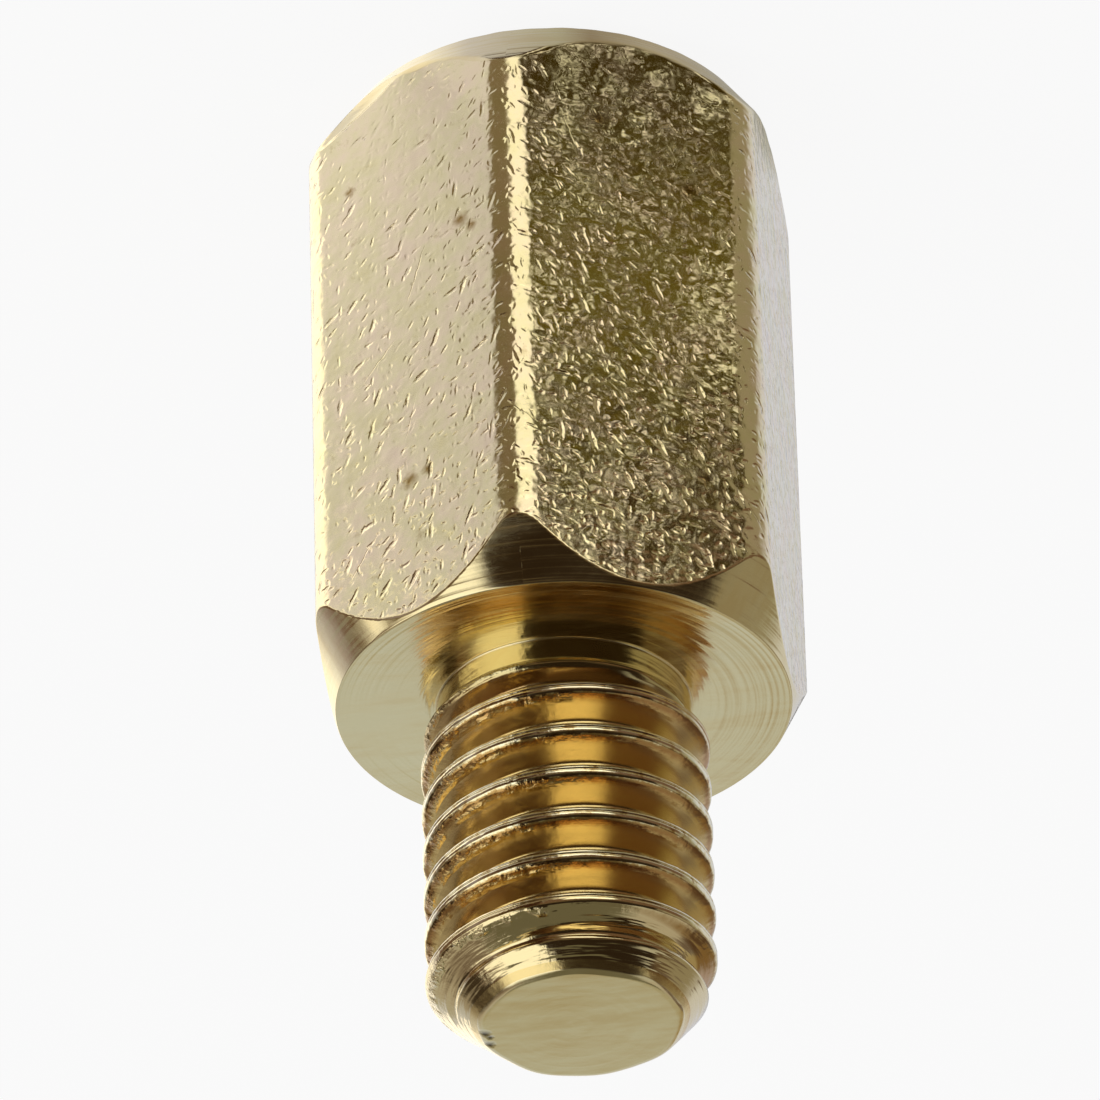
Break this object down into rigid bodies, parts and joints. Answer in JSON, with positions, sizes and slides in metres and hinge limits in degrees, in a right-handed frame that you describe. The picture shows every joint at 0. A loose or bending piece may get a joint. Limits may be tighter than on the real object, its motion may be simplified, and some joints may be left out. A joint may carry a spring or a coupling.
{
  "type": "hex standoff",
  "caption": "Male to female hex standoff in brass: a short hexagonal spacer with a tapped bore at one end and a threaded stud at the other.",
  "frame": {"origin": "centre of the flat female end face, on the axis", "axes": "+Z along the axis, from the female end to the threaded stud; two of the six corners of the hexagon lie on the Y axis, and +X is square to a flat"},
  "size_m": [0.0048, 0.0052, 0.0108],
  "materials": {
    "brass": "bare turned brass, bright drawn flats with handling marks"
  },
  "bodies": {
    "root": {"standoff": "brass"}
  },
  "joints": []
}
